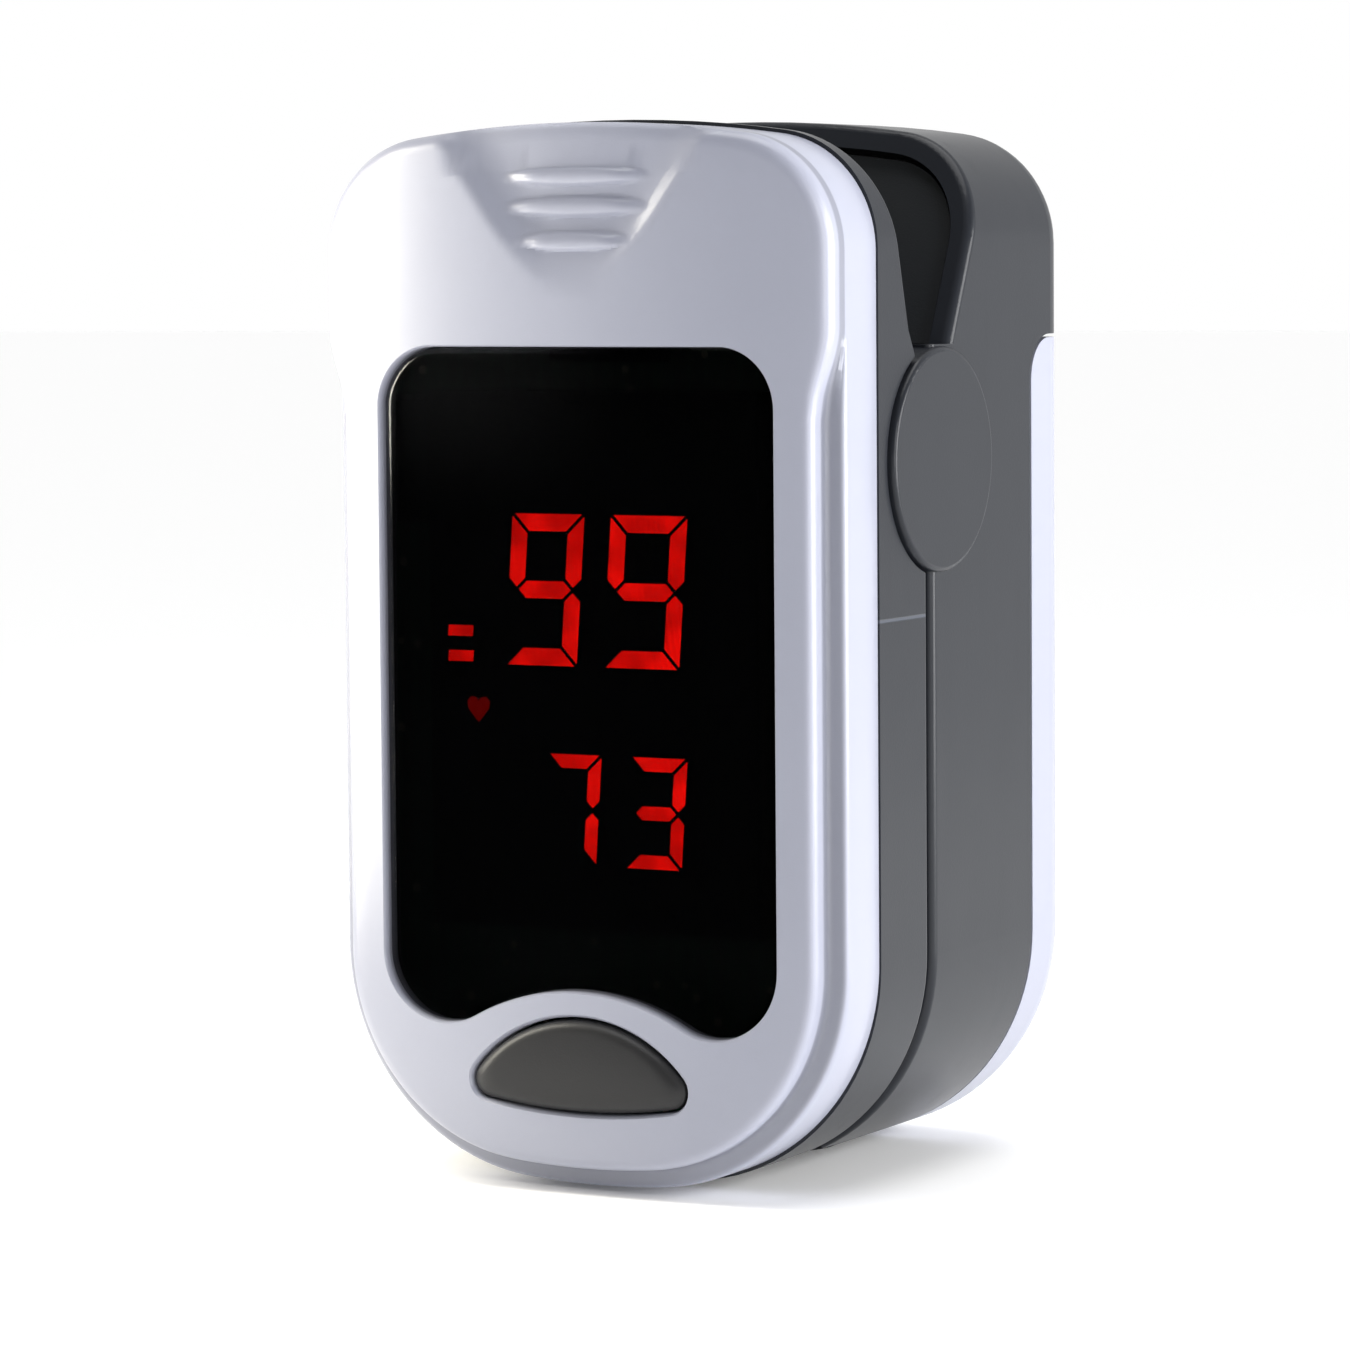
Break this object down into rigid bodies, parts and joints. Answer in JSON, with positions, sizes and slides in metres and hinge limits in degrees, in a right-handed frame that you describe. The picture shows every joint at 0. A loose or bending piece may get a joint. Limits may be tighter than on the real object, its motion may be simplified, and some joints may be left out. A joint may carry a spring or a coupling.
{
  "type": "fingertip pulse oximeter",
  "caption": "Clip-on fingertip pulse oximeter: two sprung hinged halves with padded finger tunnel, display window, power button and sliding battery door.",
  "frame": {"origin": "centre of the bounding box in X and Y, at its lowest face in Z (the end with the finger hole)", "axes": "+Z along the length towards the squeeze end, -Y out of the display, +X to the right of the display"},
  "size_m": [0.0324, 0.0303, 0.0589],
  "materials": {
    "cover_white": "gloss moulded ABS, cool white",
    "shell_grey": "semi-gloss moulded ABS, mid grey",
    "tray_slate": "satin moulded plastic, dark slate",
    "window_black": "polished smoked acrylic",
    "button_grey": "satin plastic, dark grey",
    "pad_silicone": "soft matt silicone",
    "board_green": "solder mask on glass fibre board",
    "led_red": "lit red segments",
    "chip_black": "epoxy package",
    "metal_nickel": "nickel plated spring steel",
    "cell_wrap": "printed foil sleeve, plain",
    "lens_clear": "tinted clear acrylic lens",
    "flex_amber": "polyimide flex",
    "ceramic_tan": "ceramic with tinned ends"
  },
  "bodies": {
    "battery_half": {"back_shell": "shell_grey", "back_tray": "tray_slate", "lower_finger_pad": "pad_silicone", "cell_left": "cell_wrap", "cell_right": "cell_wrap", "contact_bridge": "metal_nickel", "contact_positive": "metal_nickel", "contact_negative": "metal_nickel", "cell_spring_lower": "metal_nickel", "cell_spring_upper": "metal_nickel", "hinge_cap_left": "shell_grey", "hinge_cap_right": "shell_grey", "hinge_pin_left": "metal_nickel", "hinge_pin_right": "metal_nickel", "torsion_spring_left": "metal_nickel", "torsion_spring_right": "metal_nickel", "sensor_board": "board_green", "photodiode": "chip_black", "sensor_window": "lens_clear", "flex_cable": "flex_amber"},
    "display_half": {"front_cover": "cover_white", "display_window": "window_black", "front_shell": "shell_grey", "front_tray": "tray_slate", "upper_finger_pad": "pad_silicone", "main_board": "board_green", "board_screws": "metal_nickel", "display_digits": "led_red", "pulse_bars": "led_red", "heart_icon": "led_red", "display_module": "chip_black", "switch_body": "chip_black", "controller_chip": "chip_black", "crystal_can": "metal_nickel", "board_capacitors": "ceramic_tan", "emitter_led": "lens_clear", "emitter_window": "lens_clear"},
    "power_button": {"power_button": "button_grey", "switch_plunger": "chip_black"},
    "battery_door": {"battery_door": "cover_white"}
  },
  "joints": [
    {"name": "clip_hinge", "type": "hinge", "parent": "battery_half", "child": "display_half", "pos_m": [0, -0.0021, 0.0401], "axis": [-1, 0, 0], "range_deg": [0, 25], "stiffness_Nm_per_rad": 0.12, "springref_deg": -28.65, "deforming": ["torsion_spring_left", "torsion_spring_right", "flex_cable"]},
    {"name": "button_press", "type": "slide", "parent": "display_half", "child": "power_button", "axis": [0, 1, 0], "range_m": [0, 0.0005], "stiffness_N_per_m": 500, "springref_m": -0.0004},
    {"name": "battery_door_slide", "type": "slide", "parent": "battery_half", "child": "battery_door", "axis": [0, 0, -1], "range_m": [0, 0.048]}
  ]
}
